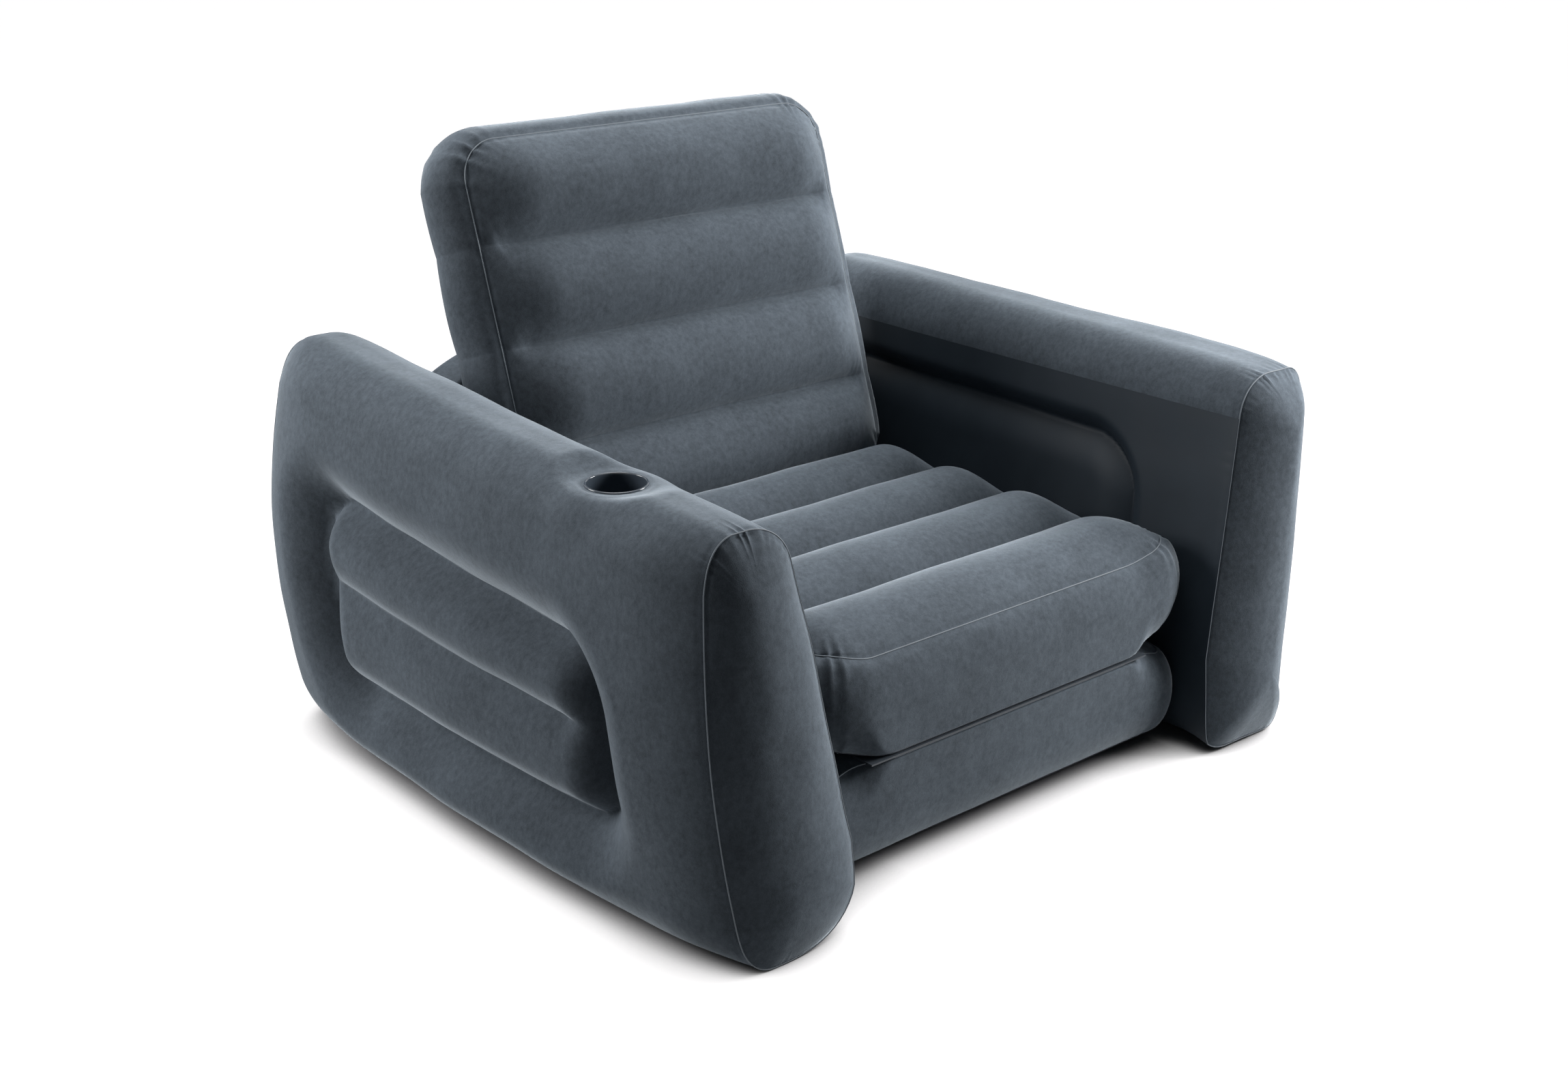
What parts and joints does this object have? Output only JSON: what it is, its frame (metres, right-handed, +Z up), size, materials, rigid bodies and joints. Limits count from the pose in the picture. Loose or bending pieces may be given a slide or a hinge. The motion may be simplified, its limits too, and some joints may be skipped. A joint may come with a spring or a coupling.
{
  "type": "inflatable chair bed",
  "caption": "Inflatable flocked armchair with a cup in one arm, whose folded mattress swings over the front edge and opens flat as a single bed.",
  "frame": {"origin": "centre of the outline on the floor plane", "axes": "+X towards the sitter's left arm, +Y towards the rear wall, +Z up; the sitter looks along -Y"},
  "size_m": [1.1584, 1.06, 0.8474],
  "materials": {
    "base_section": "short velvet flock on vinyl",
    "base_web_1": "vinyl web inside the chamber",
    "base_web_2": "vinyl web inside the chamber",
    "base_web_3": "vinyl web inside the chamber",
    "base_web_4": "vinyl web inside the chamber",
    "base_front_flange": "welded vinyl flange",
    "right_arm": "short velvet flock on vinyl",
    "left_arm": "short velvet flock on vinyl",
    "right_arm_inner_sheet": "smooth satin vinyl sheet",
    "left_arm_inner_sheet": "smooth satin vinyl sheet",
    "rear_wall": "short velvet flock on vinyl",
    "cup_holder": "glossy moulded vinyl",
    "frame_valve_body": "moulded plastic",
    "seat_section": "short velvet flock on vinyl",
    "seat_web_1": "vinyl web inside the chamber",
    "seat_web_2": "vinyl web inside the chamber",
    "seat_web_3": "vinyl web inside the chamber",
    "seat_front_flange": "welded vinyl flange",
    "seat_rear_flange": "welded vinyl flange",
    "backrest_section": "short velvet flock on vinyl",
    "backrest_web_1": "vinyl web inside the chamber",
    "backrest_web_2": "vinyl web inside the chamber",
    "backrest_web_3": "vinyl web inside the chamber",
    "backrest_foot_flange": "welded vinyl flange",
    "mattress_valve_body": "moulded plastic",
    "frame_valve_stopper": "moulded plastic",
    "frame_valve_cap": "moulded flexible plastic",
    "mattress_valve_stopper": "moulded plastic",
    "mattress_valve_cap": "moulded flexible plastic"
  },
  "bodies": {
    "frame": {"base_section": "base_section", "base_web_1": "base_web_1", "base_web_2": "base_web_2", "base_web_3": "base_web_3", "base_web_4": "base_web_4", "base_front_flange": "base_front_flange", "right_arm": "right_arm", "left_arm": "left_arm", "right_arm_inner_sheet": "right_arm_inner_sheet", "left_arm_inner_sheet": "left_arm_inner_sheet", "rear_wall": "rear_wall", "cup_holder": "cup_holder", "frame_valve_body": "frame_valve_body"},
    "seat": {"seat_section": "seat_section", "seat_web_1": "seat_web_1", "seat_web_2": "seat_web_2", "seat_web_3": "seat_web_3", "seat_front_flange": "seat_front_flange", "seat_rear_flange": "seat_rear_flange"},
    "backrest": {"backrest_section": "backrest_section", "backrest_web_1": "backrest_web_1", "backrest_web_2": "backrest_web_2", "backrest_web_3": "backrest_web_3", "backrest_foot_flange": "backrest_foot_flange", "mattress_valve_body": "mattress_valve_body"},
    "frame_valve_stopper": {"frame_valve_stopper": "frame_valve_stopper"},
    "frame_valve_cap": {"frame_valve_cap": "frame_valve_cap"},
    "mattress_valve_stopper": {"mattress_valve_stopper": "mattress_valve_stopper"},
    "mattress_valve_cap": {"mattress_valve_cap": "mattress_valve_cap"}
  },
  "joints": [
    {"name": "seat_fold", "type": "hinge", "parent": "frame", "child": "seat", "pos_m": [0, -0.447, 0.168], "axis": [1, 0, 0], "range_deg": [0, 180]},
    {"name": "backrest_fold", "type": "hinge", "parent": "seat", "child": "backrest", "pos_m": [0, 0.162, 0.2845], "axis": [1, 0, 0], "range_deg": [-71.6, 0]},
    {"name": "frame_stopper_turn", "type": "hinge", "parent": "frame", "child": "frame_valve_stopper", "pos_m": [0.18, 0.5086, 0.13], "axis": [0, 0.9991, 0.0415], "range_deg": [0, 360]},
    {"name": "frame_cap_lift", "type": "hinge", "parent": "frame_valve_stopper", "child": "frame_valve_cap", "pos_m": [0.1972, 0.5174, 0.13037], "axis": [0, 0.0415, -0.9991], "range_deg": [0, 150]},
    {"name": "mattress_stopper_turn", "type": "hinge", "parent": "backrest", "child": "mattress_valve_stopper", "pos_m": [0.3435, 0.32386, 0.62059], "axis": [1, 0, 0], "range_deg": [0, 360]},
    {"name": "mattress_cap_lift", "type": "hinge", "parent": "mattress_valve_stopper", "child": "mattress_valve_cap", "pos_m": [0.3523, 0.34018, 0.61516], "axis": [0, 0.3156, 0.9489], "range_deg": [0, 150]}
  ],
  "couplings": [
    {"joint": "backrest_fold", "follows": "seat_fold", "ratio": -0.3977}
  ]
}
